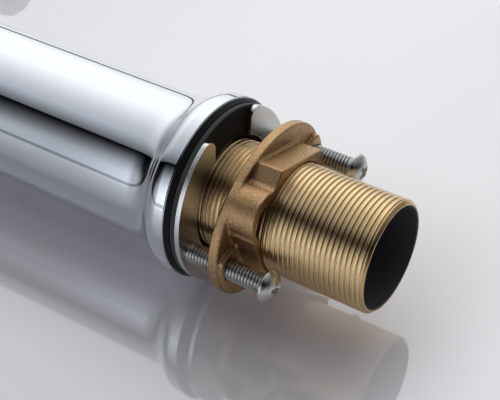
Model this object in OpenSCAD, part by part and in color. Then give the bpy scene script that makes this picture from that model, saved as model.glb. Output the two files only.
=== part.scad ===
// Tall basin mixer: one-hole lever mixer for a raised basin, with its fixing kit.
// The origin is the centre of the seat on the worktop. Z runs up the column, and the spout points to -Y.

/* [Column and foot] */
// Height of the column above the worktop
column_h = 300; // [250:1:350]
// Outside diameter of the column
column_d = 44.4; // [44:0.1:48]
// Wall of the column tube
column_wall = 2; // [1.6:0.1:2.2]
// Widest diameter of the flared foot
foot_d = 54; // [52:0.5:60]
// Radius of the flare above its widest ring
flare_r = 6.5; // [6:0.1:9]
// Height of the widest ring above the chrome edge
foot_belly_h = 3; // [2:0.1:4]
// Height of the floor inside the foot that the shank screws into, above the worktop
floor_top = 14; // [12:0.5:20]
// Chamfer under the chrome edge
foot_chamfer = 0.4; // [0.2:0.1:0.6]
// Radius of the valley between the flare and the column
valley_r = 7; // [4:0.1:9]

/* [Base gasket] */
// Height of the gasket that shows below the chrome edge
gasket_show = 1.5; // [1:0.1:3]
// Diameter of the gasket on the worktop
gasket_d = 51.8; // [48:0.1:52]
// Diameter of the gasket lip under the chrome edge
gasket_lip_d = 53.4; // [52:0.1:53.8]
// Depth of the recess that holds the gasket
recess_h = 2.5; // [1.5:0.1:4]
// Diameter of the recess that holds the gasket
recess_d = 50.8; // [46:0.1:51]
// Bore of the gasket
gasket_bore_d = 34; // [33:0.5:38]

/* [Threaded shank] */
// Thread diameter of the shank
shank_d = 32; // [30:0.5:34]
// Bore of the shank that the hoses pass through
shank_bore_d = 28.8; // [25:0.1:28.8]
// Length of the shank below the worktop
shank_below = 53.2; // [45:0.1:70]
// Length of the shank inside the foot
shank_grip = 13.5; // [8:0.5:13.5]
// Chamfer on the open end of the shank
shank_chamfer = 0.95; // [0.4:0.05:1.2]

/* [Clamping washers] */
// Thickness of the rubber washer
rubber_t = 1.6; // [1:0.1:4]
// Distance of the rubber washer's edge inside the horseshoe washer's
rubber_inset = 0.1; // [0:0.1:1]
// Bore of the rubber washer
rubber_bore_d = 33.2; // [32.8:0.1:36]
// Thickness of the horseshoe washer
horseshoe_t = 1.55; // [1:0.05:3]
// Diameter of the horseshoe washer
horseshoe_d = 51.8; // [50:0.1:56]
// Bore of the horseshoe washer
horseshoe_bore_d = 34.9; // [33:0.1:37]
// Width of the gap between its two tips
horseshoe_gap = 16.8; // [12:0.1:22]
// Direction of the gap, from +X
horseshoe_turn = 183; // [0:1:359]
// Rounding of the corners of the tips
tip_round = 3; // [1:0.1:4]

/* [Lock nut] */
// Length of the oval plate
plate_long = 53.4; // [52:0.1:60]
// Width of the oval plate
plate_short = 41.2; // [40.8:0.1:50]
// Direction of the oval's long axis, from the first screw
plate_turn = -8; // [-10:1:0]
// Thickness of the plate
plate_t = 3; // [2:0.1:5]
// Distance from the worktop seat to the plate
plate_drop = 12.2; // [10:0.1:16]
// Height of the raised pads round the screws
pad_h = 1.5; // [0.5:0.1:3]
// Width of the raised pads
pad_w = 10.8; // [8:0.1:12]
// Width of the pads' setback from the edge of the plate
pad_setback = 0.6; // [0.2:0.1:1]
// Width across the flats of the hexagon
hex_flats = 35; // [34.6:0.1:40]
// Height of the hexagon over the plate
hex_h = 7.8; // [5:0.1:12]
// Direction of the two clamp screws, from +X
screw_turn = 75; // [0:1:359]
// Chamfer at the mouth of the thread
nut_chamfer = 0.45; // [0.2:0.05:1]
// Direction of the hollow lobe, from the first screw
lobe_turn = 50; // [46:1:52]
// Distance of the hollow lobe from the centre
lobe_offset = 15.2; // [14.5:0.1:15.6]
// Outside radius of the hollow lobe
lobe_r = 7.5; // [7:0.1:8]
// Radius of the hollow in the lobe
hollow_r = 5.4; // [4.5:0.1:5.4]
// Direction of the hollow, from the first screw
hollow_turn = 46.4; // [46:0.1:48]
// Distance of the hollow from the centre
hollow_offset = 14.9; // [14.7:0.1:15.2]

/* [Clamp screws] */
// Thread diameter of the clamp screws
screw_d = 5.9; // [5:0.1:6]
// Length of the clamp screws under the head
screw_len = 25; // [24:0.5:35]
// Distance between the two clamp screws
screw_pcd = 44; // [43.6:0.1:44.6]
// Diameter of the pan head
head_d = 9.5; // [8:0.1:10]
// Height of the pan head
head_h = 3.2; // [2.4:0.1:4]
// Distance that the second screw is screwed in less than the first
screw_lag = 1.4; // [1:0.1:6]
// Width of the cross recess
cross_w = 1.2; // [0.8:0.1:1.6]
// Length of the cross recess
cross_l = 5; // [3.5:0.1:6]
// Depth of the cross recess
cross_h = 1.9; // [1:0.1:2]
// Turn of the first screw's cross
near_cross_turn = 20; // [0:1:89]
// Turn of the second screw's cross
far_cross_turn = 65; // [0:1:89]

/* [Valve block] */
// Height of the solid part of the valve block
block_h = 34; // [30:0.5:45]
// Depth of the cartridge seat below the top of the column
seat_depth = 32; // [32:0.5:32]
// Thread diameter of the retaining nut
nut_thread_d = 37; // [36.4:0.1:37.5]
// Tapping diameter of the hose inlets
inlet_d = 9; // [8:0.1:9]
// Depth of the hose inlets' thread
inlet_depth = 10; // [7:0.5:12]
// Diameter of the two inlet channels
channel_d = 5.8; // [4:0.1:6]
// Diameter of the outlet channel
outlet_channel_d = 7; // [5:0.1:7]
// Distance of the inlets from the middle, sideways
inlet_x = 7.2; // [7:0.1:8]
// Distance of the inlets from the middle, to the front
inlet_y = 3.5; // [2.5:0.1:4]
// Distance of the outlet port from the middle, to the back
outlet_y = 7; // [6.5:0.1:8]

/* [Spout] */
// Outside diameter of the spout tube
spout_d = 27; // [26.6:0.1:30]
// Wall of the spout tube
spout_wall = 2.2; // [1.8:0.1:2.6]
// Distance from the column's axis to the outlet's axis
spout_reach = 125; // [100:1:160]
// Depth of the spout's axis below the cartridge seat
spout_drop = 18; // [16:0.5:18]
// Radius of the bend, on the tube's axis
bend_r = 24; // [18:0.5:40]
// Length of the straight outlet below the bend
nose_h = 13; // [12:0.5:30]
// Diameter of the spigot that enters the valve block
spigot_d = 22; // [18:0.1:22]
// Bore of the spigot
spigot_bore_d = 16; // [12:0.1:17]
// Distance that the spigot enters the valve block
spigot_in = 5; // [4:0.1:6]
// Thickness of the seal round the spigot
o_ring_t = 1.8; // [1.2:0.1:2.4]

/* [Aerator] */
// Thread diameter of the aerator
aerator_d = 24; // [22:0.1:24.4]
// Length of the aerator's thread
aerator_h = 8; // [6:0.5:9]
// Diameter of the aerator's lip
lip_d = 25.8; // [24:0.1:26.4]
// Height of the aerator's lip
lip_h = 2; // [1:0.1:4]
// Diameter of the honeycomb insert
insert_d = 19.6; // [16:0.1:20]
// Height of the honeycomb insert
insert_h = 5; // [3:0.1:7]
// Width of one cell of the honeycomb
cell_w = 2; // [1.4:0.1:2.4]
// Wall between two cells
cell_wall = 0.6; // [0.4:0.1:0.8]
// Thickness of the aerator's washer
aerator_washer_t = 1.5; // [1:0.1:2.5]

/* [Cartridge] */
// Diameter of the cartridge
cartridge_d = 34.8; // [34.4:0.1:35]
// Wall of the cartridge housing
housing_wall = 2.4; // [1.8:0.1:2.4]
// Height of the cartridge's base
base_h = 5; // [5:0.1:5.5]
// Thickness of the fixed ceramic disc
fixed_h = 4; // [3.5:0.1:4]
// Diameter of the fixed ceramic disc
fixed_d = 29; // [28:0.1:29.6]
// Thickness of the moving ceramic disc
moving_h = 3.5; // [3:0.1:3.5]
// Diameter of the moving ceramic disc
moving_d = 23; // [21:0.1:23]
// Diameter of the disc carrier
carrier_d = 24; // [22:0.1:24]
// Height of the disc carrier
carrier_h = 6.5; // [6:0.1:6.5]
// Diameter of the turning turret
turret_d = 22; // [20:0.1:22]
// Diameter of the turret's flange
turret_flange_d = 28.4; // [26:0.1:29]
// Thickness of the turret's flange
turret_flange_h = 3.7; // [3:0.1:3.7]
// Wall of the cartridge's neck
neck_wall = 1.25; // [1:0.05:1.3]
// Height of the cartridge's neck
neck_h = 12; // [10:0.5:12]
// Height of the retaining nut's thread in the column
nut_thread_h = 6; // [5.5:0.1:6]
// Distance of the retaining nut's collar inside its thread
collar_inset = 2.1; // [1.9:0.1:2.1]
// Height of the turret above the neck
turret_show = 2; // [1:0.1:2]
// Thickness of the stem
stem_w = 8; // [7:0.1:8]
// Length of the stem's lower arm
arm_len = 13; // [13:0.1:13]
// Diameter of the ball on the stem
ball_d = 6; // [5:0.1:6]
// Diameter of the stem's pivot pin
pin_d = 3; // [2.4:0.1:3.4]
// Lean of the closed stem, from upright
lean = 12.5; // [11:0.5:12.5]

/* [Cover and handle] */
// Depth of the stem's pivot below the top of the column
pivot_depth = 2; // [2:0.1:2]
// Radius of the ball-shaped cover
dome_r = 19.3; // [19.2:0.1:19.6]
// Wall of the ball-shaped cover
dome_wall = 1.3; // [1:0.1:1.3]
// Thickness of the cover's rim
dome_rim_h = 1.5; // [1:0.1:1.5]
// Radius of the hole in the cover
dome_hole_r = 12.6; // [12.6:0.1:13]
// Outside radius of the handle's cap
cap_r = 22.4; // [22:0.1:25]
// Gap between the cap and the cover
cap_gap = 0.5; // [0.3:0.1:0.8]
// Height of the cap's rim over the pivot
cap_rim_h = 8.8; // [8.8:0.1:10]
// Length of the lever from the pivot
lever_len = 96; // [75:1:120]
// Width of the lever at the cap
lever_root_w = 21; // [16:0.5:26]
// Width of the lever at the tip
lever_tip_w = 14; // [10:0.5:20]
// Thickness of the lever at the cap
lever_root_t = 9; // [6:0.5:10]
// Thickness of the lever at the tip
lever_tip_t = 4.5; // [3:0.5:6]
// Rise of the lever over the cap's rim, in degrees
lever_rise = 20; // [15:1:25]
// Diameter of the handle's grub screw
grub_d = 5; // [4:0.1:5]
// Length of the handle's grub screw
grub_len = 4.5; // [3.5:0.5:4.5]
// Diameter of the coloured plug
plug_d = 6; // [5.4:0.1:6.4]
// Wall of the handle's boss round the square of the stem
boss_wall = 4.5; // [4.5:0.1:4.7]
// Height of the boss over the pivot
boss_z = 14.2; // [14:0.1:14.4]
// Depth of the square socket in the boss
socket_depth = 5; // [4.6:0.1:5]

/* [Fits] */
// Radial gap of a threaded or sliding fit
fit_gap = 0.05; // [0.02:0.01:0.08]
// Radial gap between fixed pieces
seat_gap = 0.1; // [0.05:0.01:0.15]
// Gap between pieces that pass close by
free_gap = 0.3; // [0.2:0.05:0.4]

/* [Hidden] */
$fn = 96;

// A small overlap that lets a cut run past a face
cut = 1;
chrome = [0.78, 0.80, 0.83];
brass = [0.80, 0.64, 0.38];
bronze = [0.72, 0.55, 0.36];
black = [0.10, 0.10, 0.11];
zinc = [0.66, 0.67, 0.66];
nylon = [0.90, 0.90, 0.86];
ceramic = [0.95, 0.93, 0.90];

column_r = column_d / 2;
column_bore_r = column_r - column_wall;
foot_r = foot_d / 2;
foot_z = gasket_show;
belly_z = foot_z + foot_belly_h;
flare_centre = [foot_r - flare_r, belly_z];
valley_z = belly_z + sqrt(pow(flare_r + valley_r, 2) - pow(column_r + valley_r - flare_centre[0], 2));
shank_r = shank_d / 2;

rubber_z = -rubber_t;
horseshoe_z = rubber_z - horseshoe_t;
plate_z = -plate_drop - plate_t;
pad_z = plate_z - pad_h;
hex_z = plate_z - hex_h;
plate_steps = 96;
tip_near_z = horseshoe_z - fit_gap;
tip_far_z = tip_near_z - screw_lag;
screw_r = screw_d / 2;
head_r = head_d / 2;
head_skirt = head_h / 4;

seat_z = column_h - seat_depth;
block_z = seat_z - block_h;
block_r = column_bore_r - fit_gap;
chamber_r = cartridge_d / 2 + 2 * seat_gap;
spout_z = seat_z - spout_drop;
spout_r = spout_d / 2;
spout_bore_r = spout_r - spout_wall;
spigot_r = spigot_d / 2;
spigot_end = block_r - spigot_in;
nose_z = spout_z - bend_r - nose_h;
elbow_y = -(spout_reach - bend_r);
socket_h = aerator_h + aerator_washer_t;

fixed_z = seat_z + base_h;
moving_z = fixed_z + fixed_h;
carrier_z = moving_z + moving_h;
turret_z = carrier_z + carrier_h + free_gap;
cover_z = turret_z + turret_flange_h + fit_gap;
housing_r = cartridge_d / 2;
housing_bore_r = housing_r - housing_wall;
shoulder_z = column_h - nut_thread_h;
neck_r = turret_d / 2 + fit_gap + neck_wall;
neck_top = shoulder_z + neck_h;
turret_top = neck_top + turret_show;
pivot_z = column_h - pivot_depth;
disc_shift = arm_len * sin(lean);
pocket_wall = 1.5;
arm_thin = 0.8;
pin_inset = 0.5;
peg_r = 1.8;
peg_h = 3;
peg_x = 13.5;
peg_y = 6.5;
seal_t = 1.5;
seal_w = 1.3;
tongue_x = 8;
tongue_w = 2;
tongue_l = 8;
tongue_h = 1.2;
collar_r = nut_thread_d / 2 - collar_inset;
collar_h = 5;
dome_thread_h = 3;
spanner_w = 4;
spanner_h = 2.3;
cap_bore_r = dome_r + cap_gap;
boss_r = stem_w / 2 + boss_wall;
stem_top = boss_z + socket_depth;
grub_wall = 0.5;
grub_z = boss_z + grub_wall + grub_d / 2;
plug_in = boss_r + 2 * seat_gap;

// Places a child on each side of the middle plane
module both_sides() {
    children();
    mirror([1, 0, 0]) children();
}

// A tube that stands on z = 0
module tube(r, bore_r, h) {
    difference() {
        cylinder(r = r, h = h);
        translate([0, 0, -cut]) cylinder(r = bore_r, h = h + 2 * cut);
    }
}

// Fills the corner between the flare and the column up to a circle that touches both
module valley_profile() {
    centre = [column_r + valley_r, valley_z];
    touch = flare_centre + (centre - flare_centre) * flare_r / (flare_r + valley_r);
    difference() {
        polygon([[column_r - cut, touch[1] - cut], touch, centre, [column_r - cut, valley_z]]);
        translate(centre) circle(r = valley_r);
    }
}

// Column and foot, turned as one profile
module body_profile() {
    difference() {
        union() {
            translate([0, foot_z]) square([column_r, column_h - foot_z]);
            polygon([[0, foot_z], [foot_r - foot_chamfer, foot_z], [foot_r, foot_z + foot_chamfer],
                [foot_r, belly_z], [0, belly_z]]);
            intersection() {
                translate(flare_centre) circle(r = flare_r);
                translate([0, belly_z]) square([foot_r, flare_r]);
            }
            valley_profile();
        }
        translate([0, foot_z - cut]) square([recess_d / 2, recess_h + cut]);
        translate([0, foot_z - cut]) square([shank_r + fit_gap, column_h]);
        translate([0, floor_top]) square([column_bore_r, column_h]);
    }
}

module body_column() {
    color(chrome)
    difference() {
        rotate_extrude() body_profile();
        translate([0, 0, spout_z]) rotate([90, 0, 0]) cylinder(r = spigot_r + fit_gap, h = foot_r);
    }
}

// Ring in the foot's recess, with a bevelled lip under the chrome edge
module base_gasket() {
    recess_r = recess_d / 2 - seat_gap;
    color(black)
    rotate_extrude()
    polygon([[gasket_bore_d / 2, 0], [gasket_d / 2, 0], [gasket_lip_d / 2, foot_z], [recess_r, foot_z],
        [recess_r, foot_z + recess_h], [gasket_bore_d / 2, foot_z + recess_h]]);
}

// Threaded tube that goes through the worktop, drawn at its crest diameter
module shank() {
    low = -shank_below;
    color(brass)
    difference() {
        union() {
            translate([0, 0, low + shank_chamfer])
                cylinder(r = shank_r, h = shank_below + shank_grip - shank_chamfer);
            translate([0, 0, low]) cylinder(r1 = shank_r - shank_chamfer, r2 = shank_r, h = shank_chamfer);
        }
        translate([0, 0, low - cut])
            cylinder(d = shank_bore_d, h = shank_below + shank_grip + 2 * cut);
    }
}

module rubber_washer() {
    color(black)
    translate([0, 0, rubber_z]) tube(horseshoe_d / 2 - rubber_inset, rubber_bore_d / 2, rubber_t);
}

// Outside of the rounding of one tip: the sharp corner less a circle that touches the gap and the rim
module tip_corner() {
    rim = horseshoe_d / 2;
    side = horseshoe_gap / 2;
    centre_x = sqrt(pow(rim - tip_round, 2) - pow(side + tip_round, 2));
    centre = [centre_x, side + tip_round];
    touch = centre * rim / (rim - tip_round);
    outer = centre * (rim + cut) / (rim - tip_round);
    difference() {
        polygon([centre, [centre_x, side - cut], [rim + cut, side - cut], outer, touch]);
        translate(centre) circle(r = tip_round);
    }
}

module horseshoe_washer() {
    color(zinc)
    translate([0, 0, horseshoe_z])
    rotate(horseshoe_turn)
    linear_extrude(horseshoe_t)
    difference() {
        circle(d = horseshoe_d);
        circle(d = horseshoe_bore_d);
        translate([0, -horseshoe_gap / 2]) square([horseshoe_d, horseshoe_gap]);
        tip_corner();
        mirror([0, 1]) tip_corner();
    }
}

// Oval outline of the plate, drawn in by inset
module plate_outline(inset) {
    long = plate_long / 2 - inset;
    short = plate_short / 2 - inset;
    polygon([for (i = [0 : plate_steps - 1])
        let (a = 360 * i / plate_steps) [long * cos(a), short * sin(a)]]);
}

// Cast lock nut: oval plate, two pads, hexagon and a hollow lobe at its side
module lock_nut() {
    thread_r = shank_r + fit_gap;
    hex_r = hex_flats / 2 / cos(30);
    color(bronze)
    rotate(screw_turn)
    difference() {
        union() {
            translate([0, 0, plate_z]) linear_extrude(plate_t) rotate(plate_turn) plate_outline(0);
            translate([0, 0, pad_z]) linear_extrude(pad_h + plate_t / 2)
                intersection() {
                    rotate(plate_turn) plate_outline(pad_setback);
                    square([plate_long, pad_w], center = true);
                }
            translate([0, 0, hex_z]) rotate(30) cylinder(r = hex_r, h = hex_h + plate_t / 2, $fn = 6);
            translate([0, 0, hex_z]) rotate(lobe_turn) translate([lobe_offset, 0, 0])
                cylinder(r = lobe_r, h = hex_h + plate_t / 2);
        }
        translate([0, 0, hex_z - cut]) cylinder(r = thread_r, h = hex_h + plate_t + 2 * cut);
        translate([0, 0, hex_z - nut_chamfer])
            cylinder(r1 = thread_r + 2 * nut_chamfer, r2 = thread_r, h = 2 * nut_chamfer);
        translate([0, 0, hex_z - cut]) rotate(hollow_turn) translate([hollow_offset, 0, 0])
            cylinder(r = hollow_r, h = hex_h + cut);
        for (side = [-1, 1])
            translate([side * screw_pcd / 2, 0, pad_z - cut])
                cylinder(r = screw_r + fit_gap, h = pad_h + plate_t + 2 * cut);
    }
}

// Pan-head screw with its tip at the origin and its head below
module clamp_screw(cross_turn) {
    crown_r = (pow(head_r, 2) + pow(head_h - head_skirt, 2)) / (2 * (head_h - head_skirt));
    color(zinc)
    difference() {
        union() {
            translate([0, 0, -screw_len - head_skirt / 2])
                cylinder(r = screw_r, h = screw_len + head_skirt / 2);
            translate([0, 0, -screw_len - head_skirt]) cylinder(r = head_r, h = head_skirt);
            intersection() {
                translate([0, 0, crown_r - screw_len - head_h]) sphere(r = crown_r);
                translate([0, 0, -screw_len - head_h]) cylinder(r = head_r, h = head_h - head_skirt / 2);
            }
        }
        for (turn = [0, 90])
            translate([0, 0, -screw_len - head_h - cut + (cross_h + cut) / 2])
                rotate(cross_turn + turn) cube([cross_l, cross_w, cross_h + cut], center = true);
    }
}

module clamp_screw_near() {
    rotate(screw_turn) translate([screw_pcd / 2, 0, tip_near_z]) clamp_screw(near_cross_turn);
}

module clamp_screw_far() {
    rotate(screw_turn + 180) translate([screw_pcd / 2, 0, tip_far_z]) clamp_screw(far_cross_turn);
}

// The three water ports, drawn as holes of two diameters
module ports(inlet_r, outlet_r, h) {
    both_sides() translate([inlet_x, -inlet_y, 0]) cylinder(r = inlet_r, h = h);
    translate([0, outlet_y, 0]) cylinder(r = outlet_r, h = h);
}

// Brass casting in the head of the column, with the cartridge chamber and the water channels
module valve_block() {
    outlet_r = outlet_channel_d / 2;
    color(brass)
    difference() {
        translate([0, 0, block_z]) cylinder(r = block_r, h = column_h - block_z);
        translate([0, 0, seat_z]) cylinder(r = chamber_r, h = seat_depth + cut);
        translate([0, 0, shoulder_z]) cylinder(r = nut_thread_d / 2, h = seat_depth);
        translate([0, 0, block_z - cut]) both_sides() translate([inlet_x, -inlet_y, 0])
            cylinder(d = inlet_d, h = inlet_depth + cut);
        translate([0, 0, block_z]) both_sides() translate([inlet_x, -inlet_y, 0])
            cylinder(d = channel_d, h = block_h + cut);
        translate([0, outlet_y, spout_z]) cylinder(r = outlet_r, h = seat_depth);
        translate([0, outlet_y + outlet_r, spout_z]) rotate([90, 0, 0])
            cylinder(r = outlet_r, h = foot_r + outlet_y);
        translate([0, -spigot_end, spout_z]) rotate([90, 0, 0])
            cylinder(r = spigot_r + fit_gap, h = foot_r);
        translate([0, 0, seat_z - peg_h - seat_gap]) both_sides() translate([peg_x, peg_y, 0])
            cylinder(r = peg_r + seat_gap, h = peg_h + cut);
    }
}

// Revolves a tube's ring through the bend and adds its straight runs
module bent_rod(r) {
    translate([0, elbow_y, spout_z]) rotate([90, 0, 180]) cylinder(r = r, h = -elbow_y);
    translate([0, elbow_y, spout_z - bend_r]) rotate([90, 0, -90])
        rotate_extrude(angle = 90) translate([bend_r, 0]) circle(r = r);
    translate([0, -spout_reach, nose_z]) cylinder(r = r, h = nose_h);
}

module spout() {
    color(chrome)
    difference() {
        union() {
            difference() {
                bent_rod(spout_r);
                translate([0, 0, spout_z - spout_d]) cylinder(r = column_r + fit_gap, h = 2 * spout_d);
            }
            translate([0, -spigot_end - fit_gap, spout_z]) rotate([90, 0, 0])
                cylinder(r = spigot_r, h = column_r - spigot_end + 2 * cut);
        }
        difference() {
            bent_rod(spout_bore_r);
            translate([0, 0, spout_z - spout_d]) cylinder(r = column_r + 2 * cut, h = 2 * spout_d);
        }
        translate([0, 0, spout_z]) rotate([90, 0, 0])
            cylinder(d = spigot_bore_d, h = column_r + 3 * cut);
        translate([0, -spigot_end - fit_gap - spigot_in / 2 - o_ring_t / 2, spout_z]) rotate([-90, 0, 0])
            tube(spigot_r + cut, spigot_r - o_ring_t + fit_gap, o_ring_t);
        translate([0, -spout_reach, nose_z - cut]) cylinder(r = aerator_d / 2 + fit_gap, h = socket_h + cut);
    }
}

// Seal in the spigot's groove
module spout_o_ring() {
    color(black)
    translate([0, -spigot_end - fit_gap - spigot_in / 2, spout_z]) rotate([90, 0, 0])
        rotate_extrude() translate([spigot_r + fit_gap - o_ring_t / 2, 0]) circle(d = o_ring_t - fit_gap);
}

// Threaded ring with a lip that shows under the spout
module aerator_shell() {
    bore_r = insert_d / 2 + seat_gap;
    color(chrome)
    translate([0, -spout_reach, nose_z])
    difference() {
        union() {
            translate([0, 0, -lip_h]) cylinder(d = lip_d, h = lip_h);
            cylinder(d = aerator_d, h = aerator_h);
        }
        translate([0, 0, -lip_h - cut]) cylinder(r = bore_r - cut, h = lip_h + 2 * cut);
        cylinder(r = bore_r, h = aerator_h + cut);
        for (turn = [0, 180])
            rotate(turn) translate([lip_d / 2 - cut, -spanner_w / 2, -lip_h - cut])
                cube([2 * cut, spanner_w, lip_h / 2 + cut]);
    }
}

// Plate of square cells that straightens the stream
module aerator_insert() {
    step = cell_w + cell_wall;
    reach = insert_d / 2 - cell_wall;
    across = floor(insert_d / step / 2);
    color(nylon)
    translate([0, -spout_reach, nose_z])
    difference() {
        cylinder(d = insert_d, h = insert_h);
        for (i = [-across : across], j = [-across : across])
            if (norm([abs(i) * step + cell_w / 2, abs(j) * step + cell_w / 2]) < reach)
                translate([i * step, j * step, insert_h / 2])
                    cube([cell_w, cell_w, insert_h + 2 * cut], center = true);
    }
}

module aerator_washer() {
    color(black)
    translate([0, -spout_reach, nose_z + aerator_h])
        tube(aerator_d / 2 - seat_gap, insert_d / 2, aerator_washer_t);
}

// Plastic foot of the cartridge, with its two pegs and the seats of the seals
module cartridge_base() {
    port_r = channel_d / 2;
    color(nylon)
    translate([0, 0, seat_z])
    difference() {
        union() {
            cylinder(d = cartridge_d, h = base_h);
            both_sides() translate([peg_x, peg_y, -peg_h]) cylinder(r = peg_r, h = peg_h + base_h / 2);
        }
        translate([0, 0, -peg_h - cut]) ports(port_r, port_r, base_h + peg_h + 2 * cut);
        translate([0, 0, -cut])
            ports(port_r + seal_w + fit_gap, port_r + seal_w + fit_gap, seal_t + cut);
    }
}

module port_seals() {
    port_r = channel_d / 2;
    color(black)
    translate([0, 0, seat_z])
    difference() {
        ports(port_r + seal_w, port_r + seal_w, seal_t);
        translate([0, 0, -cut]) ports(port_r, port_r, seal_t + 2 * cut);
    }
}

module cartridge_housing() {
    color(nylon)
    difference() {
        union() {
            translate([0, 0, fixed_z]) cylinder(r = housing_r, h = shoulder_z - fixed_z);
            translate([0, 0, fixed_z]) cylinder(r = neck_r, h = neck_top - fixed_z);
        }
        translate([0, 0, fixed_z - cut]) cylinder(r = housing_bore_r, h = cover_z - fixed_z + cut);
        translate([0, 0, fixed_z]) cylinder(r = turret_d / 2 + fit_gap, h = column_h);
    }
}

module fixed_disc() {
    color(ceramic)
    translate([0, 0, fixed_z])
    difference() {
        cylinder(d = fixed_d, h = fixed_h);
        translate([0, 0, -cut]) ports(channel_d / 2, channel_d / 2, fixed_h + 2 * cut);
    }
}

// Ceramic disc with the mixing pocket in its lower face
module moving_disc() {
    pocket_r = moving_d / 2 - pocket_wall;
    color(ceramic)
    translate([0, disc_shift, moving_z])
    difference() {
        cylinder(d = moving_d, h = moving_h);
        translate([0, 0, -cut]) intersection() {
            cylinder(r = pocket_r, h = moving_h / 2 + cut);
            translate([-pocket_r, -disc_shift - free_gap, 0]) cube([2 * pocket_r, moving_d, moving_h]);
        }
    }
}

// Plastic carrier with the socket for the stem's ball and two sliding tongues
module disc_carrier() {
    color(black)
    translate([0, disc_shift, carrier_z])
    difference() {
        union() {
            cylinder(d = carrier_d, h = carrier_h);
            both_sides() translate([tongue_x - tongue_w / 2, -tongue_l / 2, carrier_h / 2])
                cube([tongue_w, tongue_l, carrier_h / 2 + tongue_h]);
        }
        translate([0, 0, pivot_z - arm_len - ball_d / 2 - free_gap - carrier_z])
            cylinder(r = ball_d / 2 + seat_gap, h = carrier_h);
    }
}

// Turning piece that holds the pivot pin and guides the carrier
module turret() {
    slot_x = stem_w / 2 + 3 * fit_gap;
    slot_y = 7;
    groove_l = tongue_l + 2 * (2 * disc_shift + free_gap);
    color(black)
    difference() {
        union() {
            translate([0, 0, turret_z]) cylinder(d = turret_flange_d, h = turret_flange_h);
            translate([0, 0, turret_z]) cylinder(d = turret_d, h = turret_top - turret_z);
        }
        translate([-slot_x, -slot_y, turret_z - cut])
            cube([2 * slot_x, 2 * slot_y, turret_top - turret_z + 2 * cut]);
        both_sides() translate([tongue_x - tongue_w / 2 - seat_gap, -groove_l / 2, turret_z - cut])
            cube([tongue_w + 2 * seat_gap, groove_l, tongue_h + cut]);
        translate([-turret_d, 0, pivot_z]) rotate([0, 90, 0])
            cylinder(d = pin_d + fit_gap, h = 2 * turret_d);
    }
}

// Turns its children about the pivot, as the closed handle leans
module leaning() {
    translate([0, 0, pivot_z]) rotate([lean, 0, 0]) children();
}

module stem() {
    square_low = -7.5;
    color(zinc)
    leaning()
    difference() {
        union() {
            translate([-stem_w / 2, -stem_w / 2, square_low]) cube([stem_w, stem_w, stem_top - square_low]);
            translate([0, 0, -arm_len]) cylinder(r = ball_d / 2 - arm_thin, h = arm_len);
            translate([0, 0, -arm_len]) sphere(d = ball_d);
        }
        translate([-stem_w, 0, 0]) rotate([0, 90, 0]) cylinder(r = pin_d / 2 + fit_gap, h = 2 * stem_w);
    }
}

module stem_pin() {
    length = turret_d - 2 * pin_inset;
    color(zinc)
    translate([-length / 2, 0, pivot_z]) rotate([0, 90, 0]) cylinder(d = pin_d, h = length);
}

// Ring that screws onto the cartridge's shoulder, with four slots for a spanner
module retaining_nut() {
    color(brass)
    translate([0, 0, shoulder_z])
    difference() {
        union() {
            cylinder(r = nut_thread_d / 2 - fit_gap, h = column_h - shoulder_z);
            cylinder(r = collar_r, h = column_h - shoulder_z + collar_h);
        }
        translate([0, 0, -cut]) cylinder(r = neck_r + free_gap, h = 2 * collar_h + seat_depth);
        for (turn = [0, 90])
            rotate(turn)
                translate([-collar_r - cut, -spanner_w / 2, column_h - shoulder_z + collar_h - spanner_h])
                cube([2 * (collar_r + cut), spanner_w, spanner_h + cut]);
    }
}

// Chrome cover over the retaining nut, a ball about the stem's pivot
module dome_cover() {
    color(chrome)
    difference() {
        union() {
            translate([0, 0, column_h]) cylinder(r = column_r, h = dome_rim_h);
            intersection() {
                translate([0, 0, pivot_z]) sphere(r = dome_r);
                translate([0, 0, column_h]) cylinder(r = dome_r, h = dome_r);
            }
        }
        intersection() {
            translate([0, 0, pivot_z]) sphere(r = dome_r - dome_wall);
            translate([0, 0, column_h + dome_thread_h]) cylinder(r = dome_r, h = dome_r);
        }
        translate([0, 0, column_h - cut]) cylinder(r = collar_r + fit_gap, h = dome_thread_h + 2 * cut);
        translate([0, 0, column_h]) cylinder(r = dome_hole_r, h = dome_r + cut);
    }
}

// Outline of the lever from above
module lever_plan() {
    tip_r = lever_tip_w / 2;
    polygon([[-lever_root_w / 2, 0], [-tip_r, -lever_len + tip_r], [tip_r, -lever_len + tip_r],
        [lever_root_w / 2, 0]]);
    translate([0, -lever_len + tip_r]) circle(r = tip_r);
}

// Outline of the lever from the side, with its length along X
module lever_side() {
    root_x = cap_r / 2;
    root_z = sqrt(pow(cap_r, 2) - pow(root_x, 2)) - lever_root_t / 2;
    rise = (lever_len - root_x) * tan(lever_rise);
    polygon([[root_x, root_z - lever_root_t / 2], [lever_len, root_z + rise - lever_tip_t / 2],
        [lever_len, root_z + rise + lever_tip_t / 2], [root_x, root_z + lever_root_t / 2]]);
}

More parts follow.
